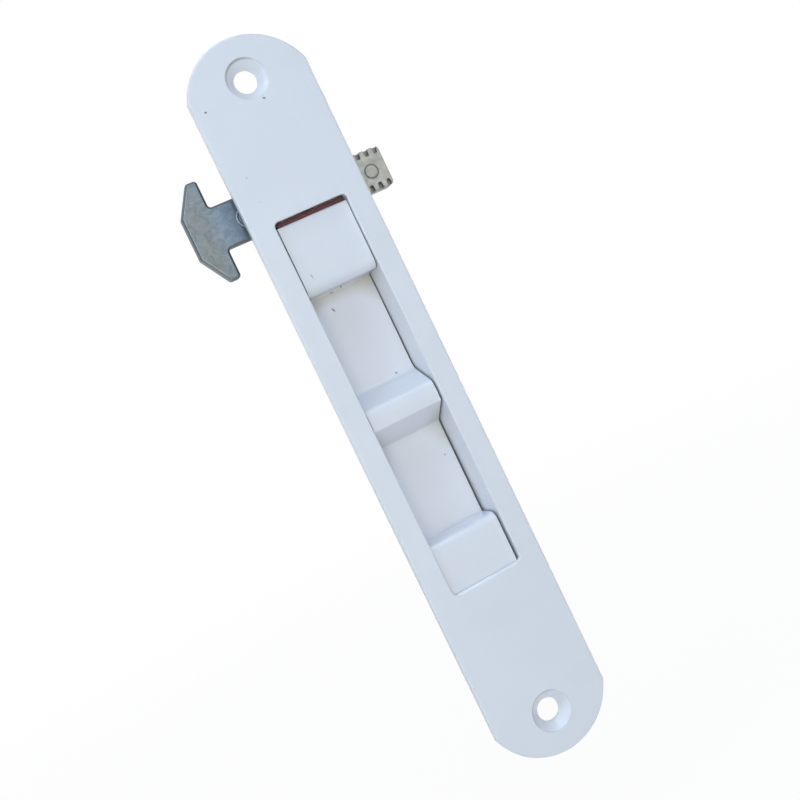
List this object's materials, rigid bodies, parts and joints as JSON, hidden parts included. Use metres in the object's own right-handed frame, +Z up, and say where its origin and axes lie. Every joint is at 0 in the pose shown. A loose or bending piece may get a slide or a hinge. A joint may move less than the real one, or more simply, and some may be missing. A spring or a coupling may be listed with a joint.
{
  "type": "window latch",
  "caption": "Flush window latch: white cast plate, recessed thumb slide with two finger troughs, and a T hook on a toothed cross bar that moves with the slide.",
  "frame": {"origin": "middle between the two screw holes, on the plane of the plate's back that lies on the sash", "axes": "+Z up the latch's long side, the way the slide moves to shut it; -Y out of the face toward the hand; the T hook is on the -X side"},
  "size_m": [0.0497, 0.016, 0.18],
  "materials": {
    "white_coat": "satin powder coat",
    "red_plastic": "matte",
    "zinc_casting": "raw die casting",
    "plated_steel": "zinc plated",
    "rivet_steel": "zinc plated",
    "screw_steel": "zinc plated",
    "cover_steel": "galvanised sheet",
    "spring_steel": "blued spring strip",
    "nylon": "natural",
    "buffer_rubber": "matte"
  },
  "bodies": {
    "case": {"face_plate": "white_coat", "back_cover": "cover_steel", "buffer_upper": "buffer_rubber", "buffer_lower": "buffer_rubber", "cover_screw_1": "screw_steel", "cover_screw_2": "screw_steel", "cover_screw_3": "screw_steel", "cover_screw_4": "screw_steel"},
    "slider": {"thumb_slide": "white_coat", "indicator_strip": "red_plastic", "rack_block": "zinc_casting", "hook_bar": "plated_steel", "hook_rivet_outer": "rivet_steel", "hook_rivet_inner": "rivet_steel", "clamp_screw": "screw_steel", "clamp_washer": "screw_steel", "glide_strip_left": "nylon", "glide_strip_right": "nylon", "leaf_spring_upper": "spring_steel", "leaf_spring_lower": "spring_steel"}
  },
  "joints": [
    {"name": "slide_travel", "type": "slide", "parent": "case", "child": "slider", "axis": [0, 0, 1], "range_m": [0, 0.006]}
  ]
}
